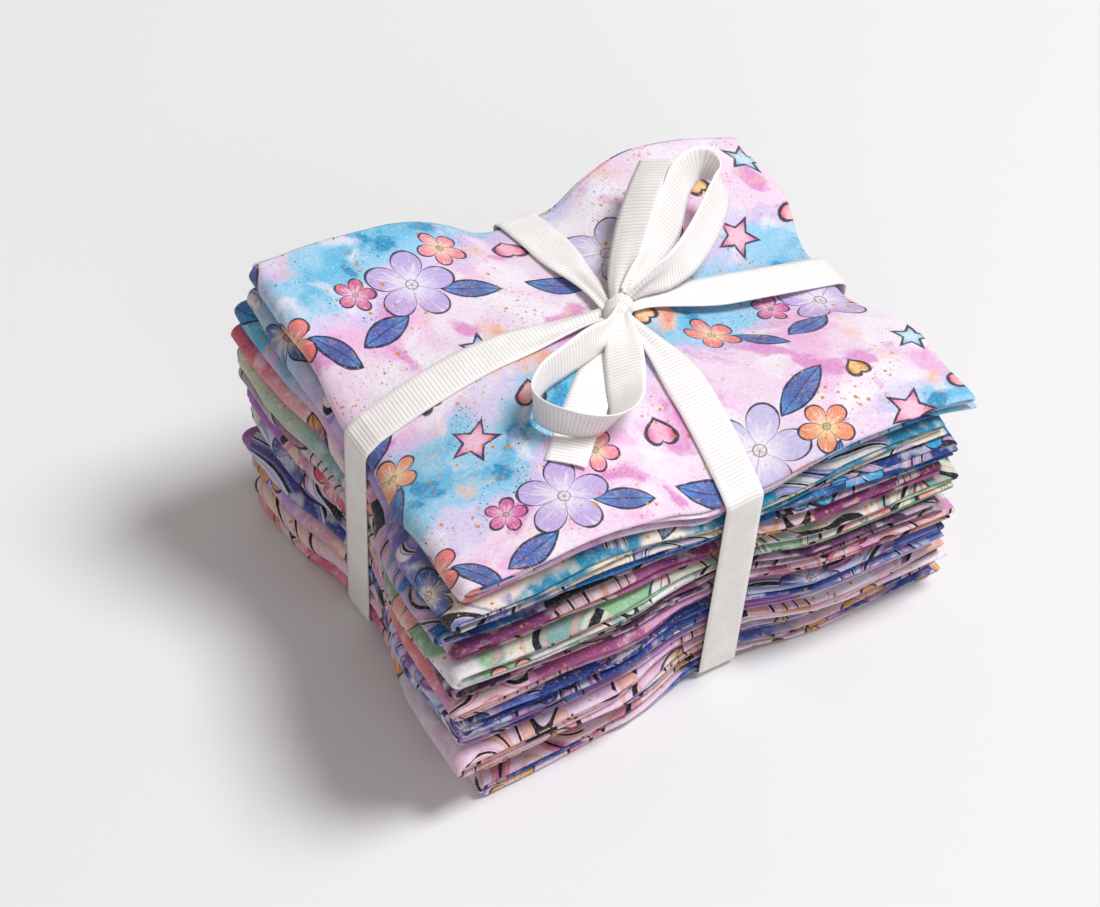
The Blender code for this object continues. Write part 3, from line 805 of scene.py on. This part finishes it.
class Paint:
    """A material whose colour is laid on in steps, as on cloth."""

    def __init__(self, name, roughness, sheen):
        self.material = bpy.data.materials.new(name)
        self.material.use_nodes = True
        self.nodes = self.material.node_tree.nodes
        self.links = self.material.node_tree.links
        self.shader = self.nodes["Principled BSDF"]
        preset(self.shader, {"Roughness": roughness, "Specular IOR Level": 0.3})
        preset(self.shader, {"Sheen Weight": sheen, "Sheen Roughness": 0.5})
        cloth = self.nodes.new("ShaderNodeUVMap")
        cloth.uv_map = "Cloth"
        self.u, self.v = self.parts(self.scaled(cloth.outputs[0], 1 / MM))

    def node(self, kind, *inputs, out=0, **settings):
        """A new shader node with its inputs plugged in, as one of its outputs."""
        made = self.nodes.new("ShaderNode" + kind)
        for setting, value in settings.items():
            setattr(made, setting, value)
        for socket, value in zip(made.inputs, inputs):
            self.plug(socket, value)
        return made.outputs[out]

    def plug(self, socket, value):
        """Links a value to a socket, or sets the socket to it."""
        if isinstance(value, Value):
            value = value.socket
        if isinstance(value, bpy.types.NodeSocket):
            self.links.new(value, socket)
        elif value is not None:
            socket.default_value = value

    def math(self, operation, *values):
        return Value(self, self.node("Math", *values, operation=operation))

    def scaled(self, vector, factor):
        made = self.node("VectorMath", vector, operation="SCALE").node
        return preset(made, {"Scale": factor}).outputs[0]

    def parts(self, vector):
        split = self.node("SeparateXYZ", vector).node
        return Value(self, split.outputs[0]), Value(self, split.outputs[1])

    def point(self, x, y, z=0.0):
        return self.node("CombineXYZ", x, y, z)

    def length(self, vector):
        return Value(self, self.node("VectorMath", vector, operation="LENGTH", out=1))

    def clouds(self, at, detail, distortion=0.0):
        """Soft clouds, 0 to 1."""
        made = self.node("TexNoise", at).node
        preset(made, {"Scale": 1.0, "Detail": detail, "Distortion": distortion})
        return Value(self, made.outputs["Fac"])

    def noise(self, size, detail=2.0, distortion=0.0, seed=0.0, stretch=1.0):
        """Clouds of about that size on the cloth."""
        at = self.point(self.u / (size * stretch), self.v / size, seed)
        return self.clouds(at, detail, distortion)

    def cells(self, size, randomness, seed=0.0):
        """The place within scattered cells, and three numbers that each cell has for itself."""
        at = self.point(self.u / size + seed, self.v / size + seed)
        made = self.node("TexVoronoi", voronoi_dimensions="2D").node
        self.links.new(at, made.inputs["Vector"])
        preset(made, {"Scale": 1.0, "Randomness": randomness})
        local = self.node("VectorMath", at, made.outputs["Position"], operation="SUBTRACT")
        own = self.node("SeparateColor", made.outputs["Color"]).node
        return self.scaled(local, size), [Value(self, socket) for socket in own.outputs]

    def step(self, value, low, high):
        """0 below low, 1 above high, softly between. High may be below low."""
        made = self.node("MapRange", value, interpolation_type="SMOOTHSTEP").node
        preset(made, {"From Min": low, "From Max": high, "To Min": 0.0, "To Max": 1.0})
        return Value(self, made.outputs[0])

    def lay(self, colour, cover, tint):
        """The tint laid over the colour where cover is 1."""
        made = self.node("Mix", data_type="RGBA").node
        self.plug(made.inputs[0], cover)
        for socket, value in ((made.inputs[6], colour), (made.inputs[7], tint)):
            if isinstance(value, str):
                value = (*linear(value), 1.0)
            self.plug(socket, value)
        return made.outputs[2]

    def ramp(self, at, stops):
        """Colours along a number, softly blended."""
        made = self.node("ValToRGB", at).node
        made.color_ramp.interpolation = "EASE"
        while len(made.color_ramp.elements) < len(stops):
            made.color_ramp.elements.new(0.5)
        for element, (place, colour) in zip(made.color_ramp.elements, stops):
            element.position = place
            element.color = (*linear(colour), 1.0)
        return made.outputs[0]

    def finish(self, colour, height, bump):
        """The finished material, with its weave raised to this depth in metres."""
        self.links.new(colour, self.shader.inputs["Base Color"])
        made = preset(self.node("Bump").node, {"Strength": 1.0, "Distance": bump})
        self.plug(made.inputs["Height"], height)
        self.links.new(made.outputs[0], self.shader.inputs["Normal"])
        return self.material


INK = "#1f233c"
DEEP_INK = "#12131f"
GOLD = "#d58f2c"
COTTON_ROUGHNESS, RIBBON_ROUGHNESS = 0.85, 0.42
CLOTH_SHEEN = 0.15
# Spacing of the cotton's threads in millimetres, and the depths of both weaves in metres
THREAD = 0.42
WEAVE_DEPTH, THREAD_DEPTH = 0.00009, 0.00003


def weave(paint):
    """Height of plain-woven cotton, its threads a little uneven."""
    over = (paint.u * (2 * pi / THREAD)).sin() * (paint.v * (2 * pi / THREAD)).sin()
    return over * 0.5 + paint.noise(0.9, detail=2.0, seed=3.0) * 1.6


# Outlined shapes. Each takes a place in units of the shape's own size, and gives how far that
# place lies outside its edge, and where its inner lines run: 0 on a line.
def polar(paint, at):
    """How far a place is from the middle of its shape, and in which direction."""
    x, y = paint.parts(at)
    return paint.length(at), paint.math("ARCTAN2", y, x)


def blossom(paint, at, petals=5):
    radius, angle = polar(paint, at)
    wave = abs((angle * (petals / 2)).cos())
    outside = radius - (wave**0.6 * 0.62 + 0.38)
    vein = abs((angle * (petals / 2)).sin()) * radius + paint.step(radius, 0.5, 0.6)
    line = paint.math("MINIMUM", wave * radius * 0.9, vein + 0.015)
    line = paint.math("MINIMUM", line, abs(radius - 0.13))
    return outside, line, radius


def leaf(paint, at):
    x, y = paint.parts(at)
    half_width = (1.0 - x * x) * 0.40
    outside = abs(y) - half_width
    vein = abs((x * 9.0 - abs(y) * 9.0).folded(1.0) - 0.5) * 0.22 + 0.03
    line = paint.math("MINIMUM", abs(y), vein + paint.step(abs(y), 0.26, 0.3))
    return outside, line, abs(x)


def star(paint, at):
    radius, angle = polar(paint, at)
    sector = pi / 5
    within = angle.folded(sector)
    inner = 0.46
    edge_x, edge_y = inner * cos(sector) - 1.0, inner * sin(sector)
    length = (edge_x**2 + edge_y**2) ** 0.5
    x, y = radius * within.cos(), radius * within.sin()
    outside = ((x - 1.0) * edge_y - y * edge_x) / length
    return outside, outside * 0.0 + 1.0, radius


def heart(paint, at):
    x, y = paint.parts(at)
    x = abs(x)
    raised = y * 1.15 - x**0.5 * 0.7
    outside = paint.math("SQRT", x * x + raised * raised) * 0.6 - 0.6
    return outside, outside * 0.0 + 1.0, x


SHAPES = {"blossom": blossom, "leaf": leaf, "star": star, "heart": heart}


def streaks(paint, at, seed):
    """Brush strokes that run out from the middle of a shape."""
    radius, angle = polar(paint, at)
    return paint.clouds(paint.point(angle * 5.0, radius * 1.3, seed), 2.0)


def lay_motif(paint, colour, kind, at, size, middle, rim, ink_width=0.3, where=None):
    """A shape with an uneven ink outline and a fill that blends from its middle to its rim."""
    outside, line, depth = SHAPES[kind](paint, at)
    uneven = paint.noise(3.0, detail=1.0, seed=8.0) * 1.6 + 0.2
    inside = paint.step(outside * size, 0.15, -0.15)
    edge = paint.step(abs(outside) * size - uneven * ink_width, 0.12, -0.12)
    inner = paint.step(line * size - uneven * (ink_width * 0.6), 0.12, -0.12) * inside
    mottle = paint.noise(2.2, detail=3.0, seed=5.0)
    strokes = streaks(paint, at, 6.0)
    share = 0.6 if kind == "blossom" else 0.15
    fill = paint.lay(middle, paint.step(depth + mottle * 0.5 + strokes * share - 0.45, 0.1, 0.8), rim)
    fill = paint.lay(fill, paint.step(strokes, 0.52, 0.68) * share, "#fbf3f4")
    fill = paint.lay(fill, paint.step(mottle, 0.40, 0.30) * 0.45, GOLD)
    if where is not None:
        inside, edge, inner = inside * where, edge * where, inner * where
    colour = paint.lay(colour, inside * 0.92, fill)
    colour = paint.lay(colour, inner * 0.65, INK)
    return paint.lay(colour, edge * 0.94, INK)


def specks(paint, colour, size, share, tint, seed, where=1.0):
    """Scattered small drops of one tint in a share of their cells."""
    at, own = paint.cells(size, 1.0, seed)
    radius = paint.length(at) + paint.noise(0.8, detail=1.0, seed=seed) * (size * 0.22)
    reach = own[0] * (size * 0.24) + size * 0.1
    cover = paint.step(radius - reach, 0.12, -0.12) * paint.step(own[1], share + 0.02, share - 0.02)
    return paint.lay(colour, cover * where, tint)


# The top print: a half-drop repeat, its motifs placed in one tile, in millimetres
TILE_WIDTH, TILE_HEIGHT = 98.0, 74.0
Motif = namedtuple("Motif", "kind x y size turn middle rim")
TOP_MOTIFS = (
    Motif("leaf", 13.0, 30.0, 8.5, 0.5, "#1f56ae", "#2c7fd0"),
    Motif("leaf", 41.0, 38.0, 8.0, -0.9, "#2350a0", "#4a86d8"),
    Motif("leaf", 45.0, 15.0, 9.0, 2.6, "#1d4f9f", "#2f8ad6"),
    Motif("blossom", 28.0, 25.0, 12.5, 0.3, "#f3eef9", "#c3bde6"),
    Motif("blossom", 45.0, 27.0, 6.8, 0.8, "#ffdf9c", "#ee8f5e"),
    Motif("leaf", 89.0, 63.0, 7.5, 0.3, "#2555a6", "#4a90dc"),
    Motif("leaf", 63.0, 67.0, 7.5, 2.9, "#1f56ae", "#3c86d2"),
    Motif("blossom", 76.0, 57.0, 11.0, 0.0, "#efe9f8", "#bfa9e2"),
    Motif("blossom", 89.0, 48.0, 6.0, 0.6, "#ffe0b8", "#f08a9a"),
    Motif("blossom", 62.0, 55.0, 5.0, 0.2, "#fbc3d6", "#d0559a"),
    Motif("leaf", 49.0, 67.0, 6.5, 0.9, "#1f4f9c", "#3c86d2"),
    Motif("blossom", 40.0, 60.0, 7.2, 0.9, "#ffe2a0", "#f4776f"),
    Motif("star", 66.0, 31.0, 6.2, 0.35, "#f9c3da", "#dc5a98"),
    Motif("star", 14.0, 57.0, 5.2, -0.3, "#ffe2a6", "#dc9433"),
    Motif("star", 80.0, 8.0, 4.8, 0.1, "#c6e2f4", "#4aa6d2"),
    Motif("heart", 84.0, 25.0, 3.6, 0.3, "#ffc0c6", "#e04a6c"),
    Motif("heart", 26.0, 48.0, 3.2, -0.4, "#ffd49a", "#d98c30"),
    Motif("heart", 9.0, 10.0, 3.8, 0.1, "#fbb6d0", "#d8487f"),
    Motif("heart", 61.0, 13.0, 3.0, -0.2, "#f6c877", "#cf8a2c"),
)


def half_drop(paint):
    """The place in one tile of the repeat, every other column lowered by half a tile."""
    column = paint.math("FLOOR", paint.u / TILE_WIDTH)
    x = paint.u - column * TILE_WIDTH
    y = paint.math("FLOORED_MODULO", paint.v + column * (TILE_HEIGHT / 2), TILE_HEIGHT)
    return paint.point(x, y)


# Washes of colour on the top print: the clouds that each follows, where it starts and is full, and
# how much it covers there. The sky's lie along its middle, in millimetres.
Wash = namedtuple("Wash", "size detail distortion seed start full share tint")
Band = namedtuple("Band", "start full share tint")
GROUND = "#efd7ec"
GROUND_WASHES = (
    Wash(26.0, 3.0, 0.2, 1.0, 0.47, 0.62, 1.0, "#f5eef8"),
    Wash(24.0, 3.0, 0.3, 2.0, 0.50, 0.64, 1.0, "#edb9e0"),
    Wash(15.0, 4.0, 0.5, 3.0, 0.56, 0.64, 0.75, "#db77c4"),
)
SKY_BANDS = (
    Band(15.0, 22.0, 0.7, "#cdc8f0"),
    Band(22.0, 26.0, 0.9, "#8fd0ee"),
    Band(27.0, 32.0, 0.8, "#54b8e2"),
)
LATER_WASHES = (
    Wash(12.0, 3.0, 0.4, 15.0, 0.55, 0.68, 0.7, "#f4edf8"),
    Wash(21.0, 3.0, 0.3, 6.0, 0.58, 0.68, 0.8, "#f6bf96"),
    Wash(21.0, 3.0, 0.3, 6.0, 0.64, 0.72, 0.8, "#f0807c"),
    Wash(1.3, 4.0, 0.0, 7.0, 0.54, 0.74, 0.25, "#f8f4fa"),
    Wash(1.3, 4.0, 0.0, 7.0, 0.46, 0.28, 0.2, "#a98fc4"),
)
# Half the spacing of the sky's bands, their slant, how far they wander and start, and their tears
SKY_SPACING = 33.0
SKY_SLANT, SKY_DRIFT, SKY_START, SKY_TORN = 0.28, 46.0, 25.0, 16.0


def lay_washes(paint, colour, washes):
    """The washes laid over the colour in turn."""
    for wash in washes:
        clouds = paint.noise(wash.size, wash.detail, wash.distortion, wash.seed)
        colour = paint.lay(colour, paint.step(clouds, wash.start, wash.full) * wash.share, wash.tint)
    return colour


def garden_washes(paint):
    """The clouded ground of the top print, with a torn band of sky across it."""
    colour = lay_washes(paint, GROUND, GROUND_WASHES)
    drift = paint.v + paint.u * SKY_SLANT + paint.noise(38.0, 2.0, 0.2, 4.0) * SKY_DRIFT + SKY_START
    clouds = paint.noise(10.0, 5.0, 0.4, 5.0)
    torn = drift.folded(SKY_SPACING) + (clouds - 0.5) * SKY_TORN
    for band in SKY_BANDS:
        colour = paint.lay(colour, paint.step(torn, band.start, band.full) * band.share, band.tint)
    deep = paint.step(torn, 30.0, 31.5) * paint.step(clouds, 0.52, 0.60)
    colour = paint.lay(colour, deep * 0.9, "#1a90c4")
    colour = lay_washes(paint, colour, LATER_WASHES)
    sprayed = paint.step(torn, 19.0, 23.0) * paint.step(clouds, 0.52, 0.58)
    colour = specks(paint, colour, 1.3, 0.5, "#0f7aa6", 1.3, sprayed)
    return specks(paint, colour, 0.8, 0.4, "#0f6c9c", 5.3, sprayed)


def woven(paint, colour):
    """Threads that took the dye unevenly."""
    threads = paint.noise(0.55, 2.0, 0.0, 12.0, 2.0) + paint.noise(0.9, 1.0, 0.0, 14.0, 0.4)
    colour = paint.lay(colour, paint.step(threads, 1.0, 1.5) * 0.22, "#ffffff")
    return paint.lay(colour, paint.step(threads, 1.0, 0.6) * 0.18, "#4c4660")


def top_print():
    """The print of the top piece: motifs over its washes, with scattered gold drops."""
    paint = Paint("printed_cotton_01", COTTON_ROUGHNESS, CLOTH_SHEEN)
    colour = garden_washes(paint)
    tile = half_drop(paint)
    for motif in TOP_MOTIFS:
        place, turn, size = (motif.x, motif.y, 0), (0, 0, motif.turn), (motif.size, motif.size, 1)
        local = paint.node("Mapping", tile, vector_type="TEXTURE").node
        preset(local, {"Location": place, "Rotation": turn, "Scale": size})
        colour = lay_motif(
            paint, colour, motif.kind, local.outputs[0], motif.size, motif.middle, motif.rim
        )
    crowded = paint.step(paint.noise(17.0, 2.0, 0.0, 9.0), 0.46, 0.58)
    colour = specks(paint, colour, 2.4, 0.4, GOLD, 2.1, crowded)
    colour = specks(paint, colour, 1.1, 0.35, "#c9822c", 4.7, crowded)
    return paint.finish(woven(paint, colour), weave(paint), WEAVE_DEPTH)


# Colours of the other prints. Along a left fold they run from the back to the front, and the
# front folds show two colours by turns.
Print = namedtuple("Print", "back middle near front other bands motif")
PRINTS = (
    None,
    Print("#a9c4e0", "#b9a0d6", "#7a5fae", "#1f86a8", "#e9dccb", "#f1e6da", "#3b62a8"),
    Print("#4fb0d2", "#d9a9cc", "#cf5f7e", "#14307f", "#1c74bd", "#e4c3d4", "#2aa0d4"),
    Print("#d8607a", "#e9dad9", "#dccfda", "#a9568c", "#86386f", "#eec9d8", "#e0962f"),
    Print("#c3cdb0", "#74a0a8", "#7fa27a", "#8fc096", "#e6e3e8", "#e9e2d6", "#ef9b96"),
    Print("#a8a1ae", "#c9c2c4", "#17255f", "#4f2556", "#9c5a8a", "#ddc3da", "#c77f9c"),
    Print("#a05fb6", "#ecc7b2", "#e6837f", "#d79ac6", "#a9528c", "#f4d9da", "#d4496c"),
    Print("#e9dfdc", "#dfa3cb", "#cf8cc4", "#6f7fd0", "#23408f", "#d6dcf4", "#2c3f8e"),
    Print("#96639e", "#2e3c86", "#7f88da", "#e9e4ef", "#c08fd2", "#ece9f6", "#88a8e2"),
    Print("#b795d9", "#e9ab92", "#d5c6d2", "#eac2de", "#efe8f0", "#eed0e8", "#d9963a"),
    Print("#dcbfb8", "#f0d3e4", "#e8bade", "#2f5fc0", "#efe3d8", "#f3d2c8", "#e6a23a"),
    Print("#ee7f86", "#de5c98", "#d8b4de", "#2b5cb8", "#efd4e6", "#f3cfda", "#e0a43c"),
)
# From the front folds to the back folds on the flat cloth, and the motifs of the lower prints
FOLD_SPACING = PACKET_DEPTH
LOWER_MOTIF_SIZE, LOWER_MOTIF_CELL = 7.5, 24.0


def drifting_colours(paint, look, across, mottle, turnabout, seed):
    """Colours that drift from the back folds to the front ones, clouded over."""
    drift = (across + (paint.noise(22.0, 2.0, 0.3, seed) - 0.5) * 46.0) / FOLD_SPACING
    stops = ((0.05, look.back), (0.42, look.middle), (0.74, look.near), (0.95, look.front))
    colour = paint.ramp(drift, stops)
    towards_front = paint.step(across, FOLD_SPACING * 0.55, FOLD_SPACING * 0.9)
    colour = paint.lay(colour, paint.step(turnabout, 0.50, 0.54) * towards_front, look.other)
    colour = paint.lay(colour, paint.step(mottle, 0.52, 0.70) * 0.45, "#fdf8f9")
    return paint.lay(colour, paint.step(mottle, 0.46, 0.30) * 0.45, look.other)


def inked_bands(paint, look, colour, mottle, seed):
    """Flowing bands between ink lines, in some stretches of the cloth."""
    flow = paint.noise(34.0, 0.0, 0.7, seed + 5.0)
    swept = paint.step(paint.noise(24.0, 1.0, 0.0, seed + 6.0), 0.51, 0.52)
    banded = paint.lay(look.bands, paint.step((flow * 9.0).folded(0.5), 0.22, 0.30), look.middle)
    banded = paint.lay(banded, paint.step((flow * 27.0).folded(0.5), 0.14, 0.06) * 0.7, look.motif)
    colour = paint.lay(colour, swept * 0.7, banded)
    inked = paint.step((flow * 14.0).folded(0.5) - (mottle - 0.5) * 0.12, 0.10, 0.07)
    return paint.lay(colour, swept * inked, DEEP_INK)


def scattered_motifs(paint, look, colour, seed):
    """Blossoms and leaves in some cells of the cloth, each turned its own way."""
    at, own = paint.cells(LOWER_MOTIF_CELL, 0.7, seed * 0.1)
    turned = paint.node("VectorRotate", at, rotation_type="Z_AXIS").node
    paint.plug(turned.inputs["Angle"], own[2] * 6.0)
    at = paint.scaled(turned.outputs[0], 1 / LOWER_MOTIF_SIZE)
    for kind, low, high, middle in (
        ("blossom", 0.34, 0.32, look.bands),
        ("leaf", 0.66, 0.68, look.other),
    ):
        here = paint.step(own[0], low, high)
        colour = lay_motif(
            paint, colour, kind, at, LOWER_MOTIF_SIZE, middle, look.motif, ink_width=0.32, where=here
        )
    return colour


def lower_print(index):
    """A print that shows along its folds only: drifting colours, inked bands and small motifs."""
    look = PRINTS[index]
    paint = Paint(f"printed_cotton_{index + 1:02d}", COTTON_ROUGHNESS, CLOTH_SHEEN)
    seed = 13.7 * index
    across = paint.v.folded(FOLD_SPACING)
    if index in NEAR_SIDE_UP:
        across = FOLD_SPACING - across
    turnabout = paint.noise(38.0, 2.0, 0.2, seed + 2.0)
    mottle = paint.noise(5.0, 4.0, 0.3, seed + 3.0)
    colour = drifting_colours(paint, look, across, mottle, turnabout, seed)
    colour = inked_bands(paint, look, colour, mottle, seed)
    colour = scattered_motifs(paint, look, colour, seed)
    crowded = paint.step(turnabout, 0.46, 0.54)
    colour = specks(paint, colour, 2.0, 0.35, GOLD, seed * 0.2 + 1.0, crowded)
    return paint.finish(woven(paint, colour), weave(paint), WEAVE_DEPTH)


def ribbon_finish():
    """White polyester, with painted shade between its ribs, fine threads and a soft gloss."""
    paint = Paint("white_grosgrain", RIBBON_ROUGHNESS, CLOTH_SHEEN)
    shade = paint.noise(7.0, 2.0, 0.0, 1.0)
    colour = paint.lay("#f4f0ee", paint.step(shade, 0.4, 0.65), "#f9f7f5")
    # Painted shade: the grooves between the ribs are tinted towards grey #bdb5b1
    between = paint.step((paint.u * (2 * pi / RIB_PITCH)).cos(), 0.35, 1.0)
    inside = paint.step(abs(paint.v - RIBBON_WIDTH / 2), 4.5, 4.1)
    colour = paint.lay(colour, between * inside * 0.45, "#bdb5b1")
    threads = (paint.v * (2 * pi / 0.3)).sin() * 0.4 + paint.noise(0.5, 2.0, 0.0, 2.0, 6.0)
    return paint.finish(colour, threads, THREAD_DEPTH)


def plain(name, colour, roughness):
    """A material of one colour."""
    made = bpy.data.materials.new(name)
    made.use_nodes = True
    shader = made.node_tree.nodes["Principled BSDF"]
    preset(shader, {"Base Color": (*colour, 1), "Roughness": roughness})
    return made


# The floor, in metres
FLOOR_REACH = 6.0
FLOOR_COLOUR = (0.79, 0.79, 0.80)
FLOOR_ROUGHNESS = 0.7


def floor():
    """The plain pale floor that the stack stands on."""
    low, high = -FLOOR_REACH, FLOOR_REACH
    mesh = bpy.data.meshes.new("floor")
    corners = [(low, low, 0), (high, low, 0), (high, high, 0), (low, high, 0)]
    mesh.from_pydata(corners, [], [(0, 1, 2, 3)])
    mesh.materials.append(plain("floor", FLOOR_COLOUR, FLOOR_ROUGHNESS))
    made = linked("floor", mesh)


# The lights: places and sizes in metres, power in watts
Lamp = namedtuple("Lamp", "name place size power colour")
LAMPS = (
    Lamp("key", (0.88, -0.39, 1.90), 0.80, 39.5, (0.97, 0.985, 1.0)),
    Lamp("fill", (-0.35, -1.1, 0.7), 0.9, 2.2, (1.0, 1.0, 1.0)),
)
LIT_PLACE = Vector((0, 0, 0.03))
SKY_COLOUR = (1.0, 0.93, 0.88, 1)
SKY_STRENGTH = 0.34


def light():
    """A plain soft studio: an even glow from all round and two round lamps."""
    world = bpy.data.worlds.new("studio")
    world.use_nodes = True
    preset(world.node_tree.nodes["Background"], {"Color": SKY_COLOUR, "Strength": SKY_STRENGTH})
    bpy.context.scene.world = world
    bpy.context.scene.view_settings.view_transform = "Standard"
    for lamp in LAMPS:
        data = bpy.data.lights.new(lamp.name, "AREA")
        data.shape = "DISK"
        data.size = lamp.size
        data.energy = lamp.power
        data.color = lamp.colour
        made = linked(lamp.name, data)
        made.location = lamp.place
        made.rotation_euler = (LIT_PLACE - Vector(lamp.place)).to_track_quat("-Z", "Y").to_euler()


# The camera, fitted to the photo: metres, and the focal length in pixels of its width
CAMERA_TARGET = (0.0038, -0.00145, 0.0)
CAMERA_AZIMUTH = radians(-30.8)
CAMERA_ELEVATION = radians(47.2)
CAMERA_DISTANCE = 1.358
CAMERA_RIGHT = -0.0153
CAMERA_UP = 0.0206
FOCAL_PIXELS = 5554.0
PHOTO_WIDTH = 1100.0
SENSOR = 36.0


def camera():
    """The camera at the photo's angle."""
    az, el = CAMERA_AZIMUTH, CAMERA_ELEVATION
    back = Vector((sin(az) * cos(el), -cos(az) * cos(el), sin(el)))
    right = Vector((cos(az), sin(az), 0))
    up = back.cross(right)
    data = bpy.data.cameras.new("camera")
    data.sensor_width = SENSOR
    data.lens = FOCAL_PIXELS / PHOTO_WIDTH * SENSOR
    made = linked("camera", data)
    place = Vector(CAMERA_TARGET) + back * CAMERA_DISTANCE
    made.location = place + right * CAMERA_RIGHT + up * CAMERA_UP
    made.rotation_euler = back.to_track_quat("Z", "Y").to_euler()
    bpy.context.scene.camera = made


def build():
    """The whole scene. Each piece rests on the one before it, from the table up."""
    camera()
    floor()
    light()
    for index in reversed(range(len(FAT_QUARTERS))):
        made = fat_quarter(index)
        made.data.materials.append(lower_print(index) if index else top_print())
        node = f"fat_quarter_{index + 1:02d}"
        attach(made, "root")
        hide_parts(node)
    made, length = ribbon()
    made.data.materials.append(ribbon_finish())
    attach(made, "root")
    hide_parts("ribbon")


build()
